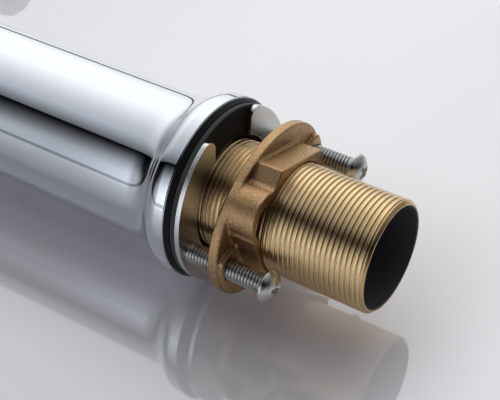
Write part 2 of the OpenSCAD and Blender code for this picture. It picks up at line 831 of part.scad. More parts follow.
// Ball-shaped cap, the lever that grows out of it, and the boss that holds the stem
module handle() {
    color(chrome)
    leaning()
    difference() {
        union() {
            intersection() {
                difference() {
                    sphere(r = cap_r);
                    sphere(r = cap_bore_r);
                }
                translate([0, 0, cap_rim_h]) cylinder(r = cap_r + cut, h = cap_r);
            }
            difference() {
                intersection() {
                    linear_extrude(lever_len) lever_plan();
                    translate([lever_root_w, 0, 0]) rotate([90, 0, -90]) linear_extrude(2 * lever_root_w)
                        lever_side();
                }
                sphere(r = (cap_r + cap_bore_r) / 2);
            }
            intersection() {
                translate([0, 0, boss_z]) cylinder(r = boss_r, h = cap_r);
                sphere(r = (cap_r + cap_bore_r) / 2);
            }
        }
        translate([-stem_w / 2 - seat_gap, -stem_w / 2 - seat_gap, 0])
            cube([stem_w + 2 * seat_gap, stem_w + 2 * seat_gap, stem_top + seat_gap]);
        translate([0, 0, grub_z]) rotate([-90, 0, 0]) cylinder(d = grub_d + 2 * fit_gap, h = cap_r);
        translate([0, plug_in, grub_z]) rotate([-90, 0, 0]) cylinder(d = plug_d + 2 * fit_gap, h = cap_r);
    }
}

module grub_screw() {
    color(zinc)
    leaning()
    translate([0, stem_w / 2, grub_z]) rotate([-90, 0, 0])
    difference() {
        cylinder(d = grub_d, h = grub_len);
        translate([0, 0, grub_len / 2]) cylinder(d = grub_d / 2, h = grub_len, $fn = 6);
    }
}

// Coloured plug over the grub screw, cut to both curves of the cap
module indicator_plug() {
    color("firebrick")
    leaning()
    difference() {
        intersection() {
            translate([0, plug_in, grub_z]) rotate([-90, 0, 0]) cylinder(d = plug_d, h = cap_r);
            sphere(r = cap_r);
        }
        sphere(r = cap_bore_r);
    }
}

body_column();
base_gasket();
shank();
rubber_washer();
horseshoe_washer();
lock_nut();
clamp_screw_near();
clamp_screw_far();
valve_block();
spout();
spout_o_ring();
aerator_shell();
aerator_insert();
aerator_washer();
cartridge_base();
port_seals();
cartridge_housing();
fixed_disc();
moving_disc();
disc_carrier();
turret();
stem();
stem_pin();
retaining_nut();
dome_cover();
handle();
grub_screw();
indicator_plug();
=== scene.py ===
"""Tall basin mixer: the finish of every piece, and the sheet, light and camera that show its fixing end."""
import math

import bmesh
import bpy
import numpy as np
from mathutils import Matrix


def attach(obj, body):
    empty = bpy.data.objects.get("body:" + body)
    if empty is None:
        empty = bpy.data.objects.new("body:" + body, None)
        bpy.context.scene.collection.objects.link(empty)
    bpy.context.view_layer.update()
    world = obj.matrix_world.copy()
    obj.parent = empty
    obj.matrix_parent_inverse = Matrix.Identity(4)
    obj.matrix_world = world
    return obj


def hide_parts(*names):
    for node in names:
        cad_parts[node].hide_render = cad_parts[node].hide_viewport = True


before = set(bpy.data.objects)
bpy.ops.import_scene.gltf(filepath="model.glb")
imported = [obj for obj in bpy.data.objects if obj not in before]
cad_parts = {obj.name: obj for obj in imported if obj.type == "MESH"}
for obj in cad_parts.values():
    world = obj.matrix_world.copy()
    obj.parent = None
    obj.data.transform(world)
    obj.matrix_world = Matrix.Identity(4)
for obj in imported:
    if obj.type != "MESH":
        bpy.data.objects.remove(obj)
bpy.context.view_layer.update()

# Metres in a millimetre, and degrees in a radian
MM = 0.001
DEGREES = 180 / math.pi

# Sizes that pieces share, in millimetres; heights are from the worktop seat
COLUMN_R = 22.2
COLUMN_BORE_R = 20.2
COLUMN_TOP = 300.0
FOOT_R = 27.0
FOOT_Z = 1.5
RECESS_R = 25.4
RECESS_TOP = 4.0
WASHER_R = 25.8
WASHER_LOW = -1.6
SHANK_R = 16.0
SHANK_BORE_R = 14.4
SHANK_LOW = -53.2
SHANK_TOP = 13.5
# Bores of the foot and the nut, which clear the shank's thread
THREAD_BORE_R = 16.05
PLATE_LOW = -15.2
PLATE_TOP = -12.2
HEX_LOW = -23.0
HEX_TOP = -13.0
# The clamp screws stand this far from the axis, on a line turned by so many degrees from +X
SCREW_OUT = 22.0
SCREW_TURN = 75.0
SCREW_HEAD_H = 3.2
SCREW_HEAD_R = 4.75
# The handle's pivot, and how many degrees it leans forward at rest
PIVOT_Z = 298.0
LEAN = 12.5

CELL_CORNERS = [(i, j, k) for i in (0, 1) for j in (0, 1) for k in (0, 1)]


class Value:
    """A shader socket in an expression, where each operator adds one Math node."""

    def __init__(self, paint, socket):
        self.paint = paint
        self.socket = socket

    def __add__(self, other):
        return self.paint.math("ADD", self, other)

    def __sub__(self, other):
        return self.paint.math("SUBTRACT", self, other)

    def __rsub__(self, other):
        return self.paint.math("SUBTRACT", other, self)

    def __mul__(self, other):
        return self.paint.math("MULTIPLY", self, other)

    __radd__ = __add__
    __rmul__ = __mul__


class Paint:
    """One node tree: node() adds any node, and the other methods name the common ones."""

    def __init__(self, tree):
        self.tree = tree
        tree.nodes.clear()

    def node(self, kind, settings=None, inputs=None, output=0):
        """Adds a node: first its settings, then a link or a constant for each socket."""
        made = self.tree.nodes.new(kind)
        for name, value in (settings or {}).items():
            setattr(made, name, value)
        for key, value in (inputs or {}).items():
            if isinstance(value, Value):
                self.tree.links.new(value.socket, made.inputs[key])
            else:
                made.inputs[key].default_value = value
        return Value(self, made.outputs[output]) if len(made.outputs) else None

    def math(self, operation, *values):
        return self.node("ShaderNodeMath", {"operation": operation}, dict(enumerate(values)))

    def lowest(self, a, b):
        return self.math("MINIMUM", a, b)

    def highest(self, a, b):
        return self.math("MAXIMUM", a, b)

    def rise(self, value, start, stop):
        """0 below start and 1 above stop, with a smooth step between."""
        return self.node("ShaderNodeMapRange", {"interpolation_type": "SMOOTHSTEP"},
                         {"Value": value, "From Min": start, "From Max": stop})

    def blend(self, factor, first, second, kind="MIX"):
        """Mixes two colours."""
        return self.node("ShaderNodeMix", {"data_type": "RGBA", "blend_type": kind},
                         {0: factor, 6: first, 7: second}, 2)

    def place(self):
        """The point on the piece, in metres."""
        return self.node("ShaderNodeTexCoord", output="Object")

    def split(self, vector):
        """The three parts of a vector."""
        made = self.node("ShaderNodeSeparateXYZ", None, {0: vector})
        return [Value(self, out) for out in made.socket.node.outputs]

    def seen_by(self):
        """Three values: 1 for a ray from the camera, from a glossy surface and through a clear one."""
        path = self.node("ShaderNodeLightPath").socket.node.outputs
        rays = ("Is Camera Ray", "Is Glossy Ray", "Is Transmission Ray")
        return [Value(self, path[name]) for name in rays]

    def stretch(self, vector, scale):
        """Scales a vector along each axis."""
        return self.node("ShaderNodeVectorMath", {"operation": "MULTIPLY"}, {0: vector, 1: scale})

    def noise(self, scale, detail=3.0, rough=0.5, vector=None):
        return self.node("ShaderNodeTexNoise", None,
                         {"Vector": vector or self.place(), "Scale": scale, "Detail": detail,
                          "Roughness": rough})

    def bump(self, height, distance, strength=1.0):
        """A normal from a height, with the distance in metres."""
        inputs = {"Height": height, "Distance": distance, "Strength": strength}
        return self.node("ShaderNodeBump", None, inputs)

    def surface(self, shader):
        self.node("ShaderNodeOutputMaterial", None, {"Surface": shader})

    def principled(self, inputs):
        """Ends the material in a Principled shader with these inputs."""
        self.surface(self.node("ShaderNodeBsdfPrincipled", None, inputs))


def finish_named(name, build):
    """A material whose node tree is filled in by build(paint)."""
    material = bpy.data.materials.new(name)
    material.use_nodes = True
    build(Paint(material.node_tree))
    return material


def colour(red, green, blue):
    """A linear colour for a socket."""
    return (red, green, blue, 1.0)


def polished_chrome(paint):
    """Nearly a mirror, with faint smudges and the slow ripple that polishing leaves."""
    smudge = paint.noise(38.0, 4.0, 0.6)
    fine = paint.noise(900.0, 2.0)
    tone = paint.blend(smudge, colour(0.665, 0.695, 0.735), colour(0.69, 0.72, 0.76))
    rough = 0.022 + 0.014 * smudge + 0.006 * fine
    ripple = paint.bump(paint.noise(30.0, 1.0), 0.000002)
    paint.principled({"Base Color": tone, "Metallic": 1.0, "Roughness": rough, "Normal": ripple})


def turned_brass(paint):
    """Brass of the shank: bright on the crests, with painted shade in the roots and inside the tube, and
    random tarnish.
    """
    x, y, _ = paint.split(paint.place())
    radius = paint.math("SQRT", x * x + y * y)
    crest = paint.rise(radius, (SHANK_R - 0.4) * MM, (SHANK_R - 0.1) * MM)
    inside = 1.0 - paint.rise(radius, (SHANK_BORE_R + 0.2) * MM, (SHANK_BORE_R + 0.5) * MM)
    stain = paint.noise(160.0, 4.0, 0.6)
    tool = paint.noise(60.0, 4.0, 0.6, paint.stretch(paint.place(), (1.0, 1.0, 110.0)))
    # Painted shade: the roots' colour is darker than the crests'
    tone = paint.blend(crest, colour(0.66, 0.44, 0.21), colour(0.84, 0.625, 0.35))
    tone = paint.blend(paint.rise(stain, 0.45, 0.75) * 0.25, tone, colour(0.62, 0.42, 0.20))
    # Painted shade inside the tube: its bore is dark grey and dull
    tone = paint.blend(inside, tone, colour(0.15, 0.15, 0.16))
    rough = 0.18 + 0.10 * tool + 0.25 * inside
    grain = paint.bump(tool, 0.00002, 0.8)
    paint.principled({
        "Base Color": tone, "Metallic": 1.0 - 0.85 * inside, "Roughness": rough, "Normal": grain})


def machined_brass(paint):
    """Plain machined brass of the pieces inside."""
    stain = paint.noise(120.0, 4.0, 0.6)
    tone = paint.blend(stain, colour(0.66, 0.50, 0.27), colour(0.80, 0.64, 0.38))
    grain = paint.bump(paint.noise(1200.0, 3.0), 0.00003)
    paint.principled({
        "Base Color": tone, "Metallic": 1.0, "Roughness": 0.24 + 0.14 * stain, "Normal": grain})


def cast_brass(paint):
    """Sand-cast skin: coarse grain, pale high spots and brown hollows."""
    sand = paint.noise(3200.0, 3.0, 0.65)
    pits = paint.noise(900.0, 3.0, 0.55)
    patch = paint.noise(95.0, 3.0, 0.5)
    tone = paint.blend(paint.rise(sand, 0.3, 0.7), colour(0.22, 0.125, 0.055), colour(0.77, 0.515, 0.28))
    tone = paint.blend(paint.rise(patch, 0.35, 0.7) * 0.4, tone, colour(0.48, 0.29, 0.135))
    grain = paint.bump(sand + 0.5 * pits, 0.00012, 1.0)
    paint.principled({
        "Base Color": tone, "Metallic": 1.0, "Roughness": 0.25 + 0.12 * pits, "Normal": grain})


def zinc_plate(paint):
    """Bright zinc with a fine grain; the screws' rolled threads are duller, with painted shade in their
    roots.
    """
    x, y, z = paint.split(paint.place())
    cloud = paint.noise(120.0, 3.0, 0.5)
    fine = paint.noise(3600.0, 2.0, 0.6)
    turn = math.radians(SCREW_TURN)
    out = paint.math("ABSOLUTE", x * math.cos(turn) + y * math.sin(turn)) - SCREW_OUT * MM
    across = y * math.cos(turn) - x * math.sin(turn)
    radius = paint.math("SQRT", out * out + across * across)
    # The threads run between the heads and the tips, and their roots are 2.35 mm from the screw's axis
    thread = paint.rise(z, -28.2 * MM, -27.8 * MM) * (1.0 - paint.rise(z, -4.4 * MM, -4.0 * MM))
    # Painted shade: the thread's roots are darkened towards black
    root = thread * (1.0 - paint.rise(radius, 2.4 * MM, 2.9 * MM))
    tone = paint.blend(cloud, colour(0.60, 0.60, 0.585), colour(0.72, 0.72, 0.71))
    tone = paint.blend(root * 0.65, tone, colour(0.10, 0.095, 0.08))
    grain = paint.bump(fine, 0.00009, 0.8)
    paint.principled({
        "Base Color": tone, "Metallic": 1.0, "Roughness": 0.07 + 0.07 * cloud + 0.10 * thread,
        "Normal": grain})


def black_rubber(paint):
    """Clean moulded rubber with a little dust."""
    speck = paint.noise(800.0, 3.0, 0.6)
    dust = paint.rise(paint.noise(70.0, 4.0, 0.6), 0.5, 0.8)
    tone = paint.blend(dust * 0.35, colour(0.005, 0.005, 0.006), colour(0.018, 0.018, 0.020))
    grain = paint.bump(speck, 0.00005, 0.8)
    paint.principled({
        "Base Color": tone, "Roughness": 0.42 + 0.18 * speck, "Specular IOR Level": 0.3, "Normal": grain})


def grey_rimmed_rubber(paint):
    """The loose washer: greyer, and paler on its rim."""
    x, y, _ = paint.split(paint.place())
    rim = paint.rise(paint.math("SQRT", x * x + y * y), (WASHER_R - 0.5) * MM, (WASHER_R - 0.1) * MM)
    speck = paint.noise(1100.0, 3.0, 0.6)
    # The rim is a paler grey than the rest
    paler_rim = rim * (0.6 + 0.4 * speck)
    tone = paint.blend(paler_rim, colour(0.010, 0.010, 0.011), colour(0.085, 0.085, 0.088))
    paint.principled({
        "Base Color": tone, "Roughness": 0.55 + 0.18 * speck, "Specular IOR Level": 0.35,
        "Normal": paint.bump(speck, 0.00006, 0.8)})


def clouded(paint, cloud, low, high, rough, spread, grain):
    """A body whose colour and roughness drift with one noise, under a fine grain."""
    paint.principled({
        "Base Color": paint.blend(cloud, colour(*low), colour(*high)),
        "Roughness": rough + spread * cloud, "Normal": grain})


def natural_nylon(paint):
    grain = paint.bump(paint.noise(900.0, 2.0), 0.00004)
    clouded(paint, paint.noise(140.0, 3.0), (0.80, 0.79, 0.74), (0.90, 0.89, 0.85), 0.38, 0.12, grain)


def black_nylon(paint):
    grain = paint.bump(paint.noise(1000.0, 2.0), 0.00004)
    clouded(paint, paint.noise(180.0, 3.0), (0.02, 0.02, 0.022), (0.045, 0.045, 0.05), 0.36, 0.14, grain)


def ground_ceramic(paint):
    grain = paint.bump(paint.noise(2200.0, 2.0), 0.00001)
    clouded(paint, paint.noise(160.0, 4.0), (0.84, 0.82, 0.78), (0.92, 0.90, 0.87), 0.12, 0.10, grain)


def red_plastic(paint):
    grain = paint.bump(paint.noise(1500.0, 2.0), 0.00001)
    clouded(paint, paint.noise(300.0, 3.0), (0.42, 0.025, 0.02), (0.55, 0.04, 0.03), 0.16, 0.10, grain)


FINISH = {
    "chrome": finish_named("polished_chrome", polished_chrome),
    "shank_brass": finish_named("turned_brass", turned_brass),
    "block_brass": finish_named("machined_brass", machined_brass),
    "cast_brass": finish_named("cast_brass", cast_brass),
    "black_rubber": finish_named("black_rubber", black_rubber),
    "grey_rimmed_rubber": finish_named("grey_rimmed_rubber", grey_rimmed_rubber),
    "zinc_steel": finish_named("zinc_plate", zinc_plate),
    "white_plastic": finish_named("natural_nylon", natural_nylon),
    "black_plastic": finish_named("black_nylon", black_nylon),
    "ceramic": finish_named("ground_ceramic", ground_ceramic),
    "red_plastic": finish_named("red_plastic", red_plastic),
}


def outward(points, faces):
    """Faces turned so that the closed mesh has its normals outside."""
    points = np.asarray(points)
    corner = points[faces]
    volume = 0.0
    for k in range(1, faces.shape[1] - 1):
        volume += np.einsum("ij,ij->", corner[:, 0], np.cross(corner[:, k], corner[:, k + 1]))
    return faces if volume > 0 else faces[:, ::-1]


def add_piece(name, points, faces, body, slot, nodes, normals=None):
    """A smooth mesh piece from points in millimetres, in place of its CAD nodes.

    Its normals are given, or else weighted by face area, which keeps flat faces flat.
    """
    mesh = bpy.data.meshes.new(name)
    mesh.from_pydata((np.asarray(points, float) * MM).tolist(), [], [list(map(int, f)) for f in faces])
    mesh.materials.append(FINISH[slot])
    mesh.shade_smooth()
    piece = bpy.data.objects.new(name, mesh)
    bpy.context.scene.collection.objects.link(piece)
    if normals is None:
        piece.modifiers.new("flat faces stay flat", "WEIGHTED_NORMAL").weight = 80
    else:
        mesh.normals_split_custom_set_from_vertices(normals.tolist())
    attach(piece, body)
    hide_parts(*nodes)
    return piece


def arc(centre, radius, start, stop, steps):
    """Points (x, y, 0) of an arc, from one angle to another in degrees, which soften() leaves alone."""
    turn = np.radians(np.linspace(start, stop, steps + 1))
    return [(centre[0] + radius * math.cos(a), centre[1] + radius * math.sin(a), 0) for a in turn]


def soften(corners, steps=5):
    """Outline of a closed loop of corners (x, y, radius), each rounded with a true arc."""
    outline = []
    for i, (x, y, radius) in enumerate(corners):
        here = np.array((x, y), float)
        if radius == 0:
            outline.append(here)
            continue
        back = np.array(corners[i - 1][:2]) - here
        ahead = np.array(corners[(i + 1) % len(corners)][:2]) - here
        back /= np.linalg.norm(back)
        ahead /= np.linalg.norm(ahead)
        half = math.acos(np.clip(back @ ahead, -1, 1)) / 2
        middle = (back + ahead) / np.linalg.norm(back + ahead)
        centre = here + middle * radius / math.sin(half)
        start = here + back * radius / math.tan(half) - centre
        stop = here + ahead * radius / math.tan(half) - centre
        sweep = math.pi - 2 * half
        for t in np.linspace(0, 1, steps + 1):
            outline.append(centre + (start * math.sin((1 - t) * sweep) + stop * math.sin(t * sweep))
                           / math.sin(sweep))
    return np.array(outline)


def ring_faces(rings, turns, closed=True):
    """Quads between rings of equal count, and from the last ring to the first where closed."""
    index = np.arange(rings * turns).reshape(rings, turns)
    ahead = np.roll(index, -1, 1)
    faces = np.stack([index, ahead, np.roll(ahead, -1, 0), np.roll(index, -1, 0)], -1)
    return (faces if closed else faces[:-1]).reshape(-1, 4)


def lathe(profile, turns=192):
    """A closed profile of (radius, height) turned about Z."""
    angle = np.linspace(0, 2 * math.pi, turns, endpoint=False)
    r = profile[:, :1]
    points = np.stack([r * np.cos(angle), r * np.sin(angle), np.repeat(profile[:, 1:2], turns, 1)], -1)
    points = points.reshape(-1, 3)
    return points, outward(points, ring_faces(len(profile), turns))


def turned_piece(name, corners, body, slot, node, steps=5):
    """A lathe-turned piece from its rounded profile of (radius, height)."""
    points, faces = lathe(soften(corners, steps))
    add_piece(name, points, faces, body, slot, [node])


def merged(points, faces):
    """Joins points that coincide and drops the faces that this flattens."""
    key = np.round(np.asarray(points) * 1e5).astype(np.int64)
    _, first, number = np.unique(key, axis=0, return_index=True, return_inverse=True)
    number = number.ravel()
    made = []
    for face in number[faces].tolist():
        loop = [v for i, v in enumerate(face) if v != face[i - 1]]
        if len(set(loop)) == len(loop) and len(loop) > 2:
            made.append(loop)
    return np.asarray(points)[first], made


def thread_stations(depth, pitch, crest_w, flank_w, groove=0.0):
    """One pitch of a thread as (along, drop): a crest, perhaps grooved, flanks and a round root."""
    root = crest_w + flank_w
    root_w = pitch - crest_w - 2 * flank_w
    worn = 0.06
    crest = [(0, worn), (0.12, 0), (0.36, groove * 0.1), (0.5, groove), (0.64, groove * 0.1), (0.88, 0),
             (1, worn)]
    hollow = [(0, depth - 0.04), (0.3, depth - 0.006), (0.7, depth - 0.006), (1, depth - 0.04)]
    return [(crest_w * t, drop) for t, drop in crest] + [(root + root_w * t, drop) for t, drop in hollow]


def thread_rings(crest, stations, pitch, low, high, low_chamfer, high_chamfer, turns):
    """Heights, radii and angles of a right-hand thread's outside, cut flat and chamfered at both ends."""
    place = np.array([s[0] for s in stations] + [pitch])
    drop = np.array([s[1] for s in stations] + [stations[0][1]])
    count = int((high - low) / pitch) + 3
    rows = np.concatenate([place[:-1] + low + (k - 1.5) * pitch for k in range(count + 1)])
    angle = np.linspace(0, 2 * math.pi, turns, endpoint=False)
    z = rows[:, None] + pitch * (angle / (2 * math.pi))[None, :]
    z = np.clip(z, low, high)
    phase = np.mod(z - pitch * (angle / (2 * math.pi))[None, :] - low - 0.5 * pitch, pitch)
    r = crest - np.interp(phase, place, drop)
    r = np.minimum(r, crest - low_chamfer + (z - low))
    r = np.minimum(r, crest - high_chamfer + (high - z))
    return z, r, angle


def threaded_rod(crest, stations, pitch, low, high, low_chamfer, high_chamfer, inner, turns):
    """A threaded rod, or a tube where inner gives the closing rings (radius, height) from high to low."""
    z, r, angle = thread_rings(crest, stations, pitch, low, high, low_chamfer, high_chamfer, turns)
    # A turn later the helix has risen by a pitch, so the last column meets the first one row group on
    group = len(stations)
    rows = len(z)
    points = np.stack([r * np.cos(angle), r * np.sin(angle), z], -1)
    index = np.arange(rows * turns).reshape(rows, turns)
    ahead = np.roll(index, -1, 1)
    ahead[:, -1] = np.minimum(np.arange(rows) + group, rows - 1) * turns
    faces = np.stack([index[:-1], ahead[:-1], ahead[1:], index[1:]], -1).reshape(-1, 4)
    rings = [np.stack([radius * np.cos(angle), radius * np.sin(angle), np.full(turns, height)], -1)
             for radius, height in inner]
    points = np.concatenate([points.reshape(-1, 3), *rings])
    start = rows * turns
    extra = ring_faces(len(inner), turns, closed=False) + start
    top = np.arange((rows - 1) * turns, rows * turns)
    bottom = np.arange(turns)
    first = np.arange(start, start + turns)
    last = np.arange(start + (len(inner) - 1) * turns, start + len(inner) * turns)
    join_top = np.stack([top, np.roll(top, -1), np.roll(first, -1), first], -1)
    join_low = np.stack([last, np.roll(last, -1), np.roll(bottom, -1), bottom], -1)
    faces = np.concatenate([faces, extra, join_top, join_low])
    return points, outward(points, faces)


def move(points, turn=0.0, shift=(0, 0, 0)):
    """Turns points about Z by degrees, then shifts them."""
    a = math.radians(turn)
    spin = np.array([[math.cos(a), -math.sin(a), 0], [math.sin(a), math.cos(a), 0], [0, 0, 1]])
    return np.asarray(points) @ spin.T + np.array(shift)


def join(a, b, radius):
    """Union of two distances with a fillet of that radius."""
    near = np.hypot(np.maximum(radius - a, 0), np.maximum(radius - b, 0))
    return np.maximum(radius, np.minimum(a, b)) - near


def trim(a, b, radius):
    """Intersection of two distances with an edge rounded to that radius."""
    near = np.hypot(np.maximum(radius + a, 0), np.maximum(radius + b, 0))
    return np.minimum(-radius, np.maximum(a, b)) + near


def disc(x, y, out, turn, radius):
    """Distance to an upright cylinder that stands out from the axis, turned by degrees from +X."""
    turn = math.radians(turn)
    return np.hypot(x - out * math.cos(turn), y - out * math.sin(turn)) - radius


def slope(field, points, reach=0.02):
    """Gradient of a distance field."""
    parts = []
    for axis in np.eye(3) * reach:
        parts.append((field(points + axis) - field(points - axis)) / (2 * reach))
    return np.stack(parts, -1)


def net_points(value, base):
    """Where each mixed cell's crossed edges meet the surface on average, in cells."""
    total = np.zeros((len(base), 3))
    found = np.zeros(len(base))
    for a in CELL_CORNERS:
        for axis in range(3):
            if a[axis]:
                continue
            b = tuple(c + (n == axis) for n, c in enumerate(a))
            va = value[tuple((base + a).T)]
            vb = value[tuple((base + b).T)]
            crosses = (va < 0) != (vb < 0)
            share = np.where(crosses, va / np.where(crosses, va - vb, 1), 0)
            point = np.array(a) + share[:, None] * np.eye(3)[axis]
            total += np.where(crosses[:, None], point, 0)
            found += crosses
    return base + total / found[:, None]


def net_faces(inside, number):
    """A quad round each grid edge that the surface crosses, from the numbers of the four cells there."""
    faces = []
    for axis in range(3):
        u, v = (axis + 1) % 3, (axis + 2) % 3
        start = [slice(None)] * 3
        end = [slice(None)] * 3
        start[axis] = slice(0, -1)
        end[axis] = slice(1, None)
        first, second = inside[tuple(start)], inside[tuple(end)]
        for before, flip in ((True, False), (False, True)):
            edge = np.argwhere((first == before) & (second != before))
            around = []
            for du, dv in ((0, 0), (-1, 0), (-1, -1), (0, -1)):
                cell = edge.copy()
                cell[:, u] += du
                cell[:, v] += dv
                around.append(number[tuple(cell.T)])
            quad = np.stack(around, -1)
            faces.append(quad[:, ::-1] if flip else quad)
    return np.concatenate(faces)


def skin(field, low, high, step):
    """Closed mesh of the solid where field is below 0: surface nets, drawn onto the true surface."""
    low = np.array(low, float) - 1.5 * step
    counts = np.ceil((np.array(high) + 1.5 * step - low) / step).astype(int) + 1
    lines = [low[i] + step * np.arange(counts[i]) for i in range(3)]
    value = field(np.stack(np.meshgrid(*lines, indexing="ij"), -1))
    inside = value < 0
    amount = sum(inside[i:counts[0] - 1 + i, j:counts[1] - 1 + j, k:counts[2] - 1 + k].astype(np.int8)
                 for i, j, k in CELL_CORNERS)
    mixed = (amount > 0) & (amount < len(CELL_CORNERS))
    base = np.argwhere(mixed)
    number = np.full(mixed.shape, -1)
    number[mixed] = np.arange(len(base))
    points = low + net_points(value, base) * step
    faces = net_faces(inside, number)
    assert faces.min() >= 0, "the solid reaches past its grid"
    for _ in range(3):
        gradient = slope(field, points)
        size = np.maximum((gradient ** 2).sum(-1), 0.05)
        shift = gradient * (field(points) / size)[:, None]
        points = points - np.clip(shift, -0.5 * step, 0.5 * step)
    normals = slope(field, points)
    normals /= np.maximum(np.linalg.norm(normals, axis=-1, keepdims=True), 1e-9)
    return points, outward(points, faces), normals


def tightening_bend(flare, flare_r, ease):
    """Points from the flare's arc up to the straight column, and the angle where arc and bend meet.

    Going down, the bend starts straight and tightens steadily, so that reflections flow round it.
    Its radius after a length s is ease / s.
    """
    step = 0.04
    x, z, tilt = COLUMN_R, 0.0, 0.0
    points = [(x, z)]
    while x < flare[0] + flare_r * math.cos(tilt):
        tilt += step * step * len(points) / ease
        x += step * math.sin(tilt)
        z -= step * math.cos(tilt)
        points.append((x, z))
    lift = flare[1] + flare_r * math.sin(tilt) - z
    # Every sixth point is enough, from just above the meeting
    return [(px, pz + lift, 0) for px, pz in points[-4::-6]], math.degrees(tilt)


def make_column():
    """Column and flared foot, with the valley between them as one smooth curve."""
    flare_r = 6.5
    flare = (FOOT_R - flare_r, 4.5)
    floor = 14.0
    valley, meet = tightening_bend(flare, flare_r, 56.0)
    corners = [(RECESS_R, FOOT_Z, 0.08), (FOOT_R, FOOT_Z, 0.45)]
    corners += arc(flare, flare_r, 0, meet, 40)
    corners += valley
    corners += [(COLUMN_R, z, 0) for z in np.linspace(valley[-1][1] + 2, COLUMN_TOP - 3, 60)]
    corners += [(COLUMN_R, COLUMN_TOP, 0.25), (COLUMN_BORE_R, COLUMN_TOP, 0.2),
                (COLUMN_BORE_R, floor, 0.3), (THREAD_BORE_R, floor, 0.3),
                (THREAD_BORE_R, RECESS_TOP, 0.1), (RECESS_R, RECESS_TOP, 0.1)]
    turned_piece("column_and_foot", corners, "column", "chrome", "body_column")


def make_gasket():
    """Foot gasket, whose bevelled lip shows under the chrome edge."""
    bore_r = 17.0
    plug_r = RECESS_R - 0.1
    lip_z = FOOT_Z - 0.02
    corners = [(bore_r, 0, 0.2), (25.9, 0, 0.25), (26.7, lip_z, 0.1), (plug_r, lip_z, 0.05),
               (plug_r, RECESS_TOP, 0.1), (bore_r, RECESS_TOP, 0.1)]
    turned_piece("foot_gasket", corners, "column", "black_rubber", "base_gasket")


def make_rubber_washer():
    """Loose washer under the foot's gasket."""
    bore_r = 16.6
    corners = [(bore_r, WASHER_LOW, 0.15), (WASHER_R, WASHER_LOW, 0.3), (WASHER_R, 0, 0.3),
               (bore_r, 0, 0.15)]
    turned_piece("soft_washer", corners, "washers", "grey_rimmed_rubber", "rubber_washer")


def make_shank():
    """Threaded tube, with the helix cut on its outside."""
    pitch = 1.5
    chamfer = 0.95
    inner = [(SHANK_BORE_R + 0.35, SHANK_TOP), (SHANK_BORE_R, SHANK_TOP - 0.35), (SHANK_BORE_R, -20.0),
             (SHANK_BORE_R, SHANK_LOW + 0.3), (SHANK_BORE_R + 0.3, SHANK_LOW)]
    profile = thread_stations(depth=0.36, pitch=pitch, crest_w=0.88, flank_w=0.16, groove=0.09)
    points, faces = threaded_rod(SHANK_R, profile, pitch, SHANK_LOW, SHANK_TOP, chamfer, chamfer,
                                 inner, 192)
    points, faces = merged(points, faces)
    add_piece("threaded_tube", points, faces, "column", "shank_brass", ["shank"])


def make_horseshoe():
    """Punched washer with an open gap, rounded tips and small burrs worn off its edges."""
    rim = 25.9
    bore = 17.45
    # Half the width of the gap, the radius of the tips, and the washer's thickness and underside
    side = 8.4
    tip = 3.0
    thick = 1.55
    low = WASHER_LOW - thick
    gap_turn = 183
    centre_x = math.sqrt((rim - tip) ** 2 - (side + tip) ** 2)
    reach = math.degrees(math.atan2(side + tip, centre_x))
    inner_x = math.sqrt(bore ** 2 - side ** 2)
    inner = math.degrees(math.atan2(side, inner_x))
    outline = [p[:2] for p in arc((0, 0), rim, reach, 360 - reach, 150)]
    outline += [p[:2] for p in arc((centre_x, -side - tip), tip, -reach, 90, 12)][1:]
    outline += [p[:2] for p in arc((0, 0), bore, 360 - inner, inner, 110)]
    outline += [p[:2] for p in arc((centre_x, side + tip), tip, -90, reach, 12)][:-1]
    outline = np.array(outline)
    along = np.roll(outline, -1, 0) - np.roll(outline, 1, 0)
    along /= np.linalg.norm(along, axis=1, keepdims=True)
    inward = np.stack([-along[:, 1], along[:, 0]], -1)
    edge = 0.14
    rings = []
    for inset, height in ((edge, 0), (edge * 0.3, edge * 0.3), (0, edge), (0, thick - edge),
                          (edge * 0.3, thick - edge * 0.3), (edge, thick)):
        flat = outline + inward * inset
        rings.append(np.column_stack([flat, np.full(len(flat), height + low)]))
    count = len(outline)
    points = move(np.concatenate(rings), gap_turn)
    sides = ring_faces(len(rings), count, closed=False)
    faces = [list(f) for f in sides]
    faces.append(list(range(count))[::-1])
    faces.append(list(range((len(rings) - 1) * count, len(rings) * count)))
    piece = add_piece("punched_washer", points, faces, "washers", "zinc_steel", ["horseshoe_washer"])
    face_outward(piece)


def face_outward(piece):
    """Makes the normals of a closed mesh agree and point outside."""
    work = bmesh.new()
    work.from_mesh(piece.data)
    bmesh.ops.recalc_face_normals(work, faces=work.faces)
    work.to_mesh(piece.data)
    work.free()


